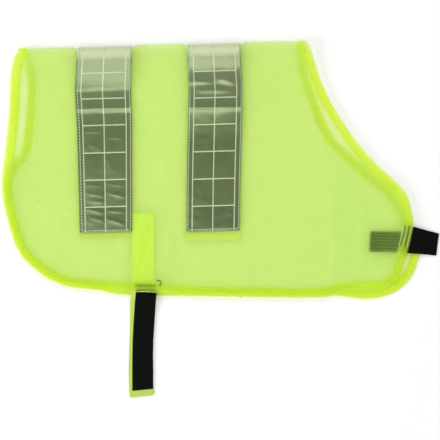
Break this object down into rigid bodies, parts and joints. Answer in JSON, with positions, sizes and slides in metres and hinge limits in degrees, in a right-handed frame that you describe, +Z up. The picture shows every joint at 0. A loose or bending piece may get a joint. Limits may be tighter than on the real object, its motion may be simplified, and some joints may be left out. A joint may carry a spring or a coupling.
{
  "type": "reflective dog vest",
  "caption": "Flat-laid reflective dog vest folded along the back, with a bound edge, reflective bands, belly strap and hook tabs.",
  "frame": {"origin": "on the surface it lies on, under the middle of the folded vest", "axes": "+X along the back towards the neck end, +Y across the vest towards the fold along the back, +Z up from the surface"},
  "size_m": [0.3921, 0.3214, 0.0106],
  "materials": {
    "yellow_cloth": "thin see-through high-visibility polyester",
    "yellow_binding": "high-visibility polyester bias tape",
    "reflective_tape": "clear glossy prismatic tape, silver grey",
    "black_hook_tape": "matt black hook and loop tape"
  },
  "bodies": {
    "root": {"vest_cloth": "yellow_cloth", "edge_binding": "yellow_binding", "rear_band": "reflective_tape", "front_band": "reflective_tape", "belly_strap": "yellow_binding", "belly_hook_strip": "black_hook_tape", "chest_hook_tab": "black_hook_tape", "chest_loop_patch": "black_hook_tape"}
  },
  "joints": []
}
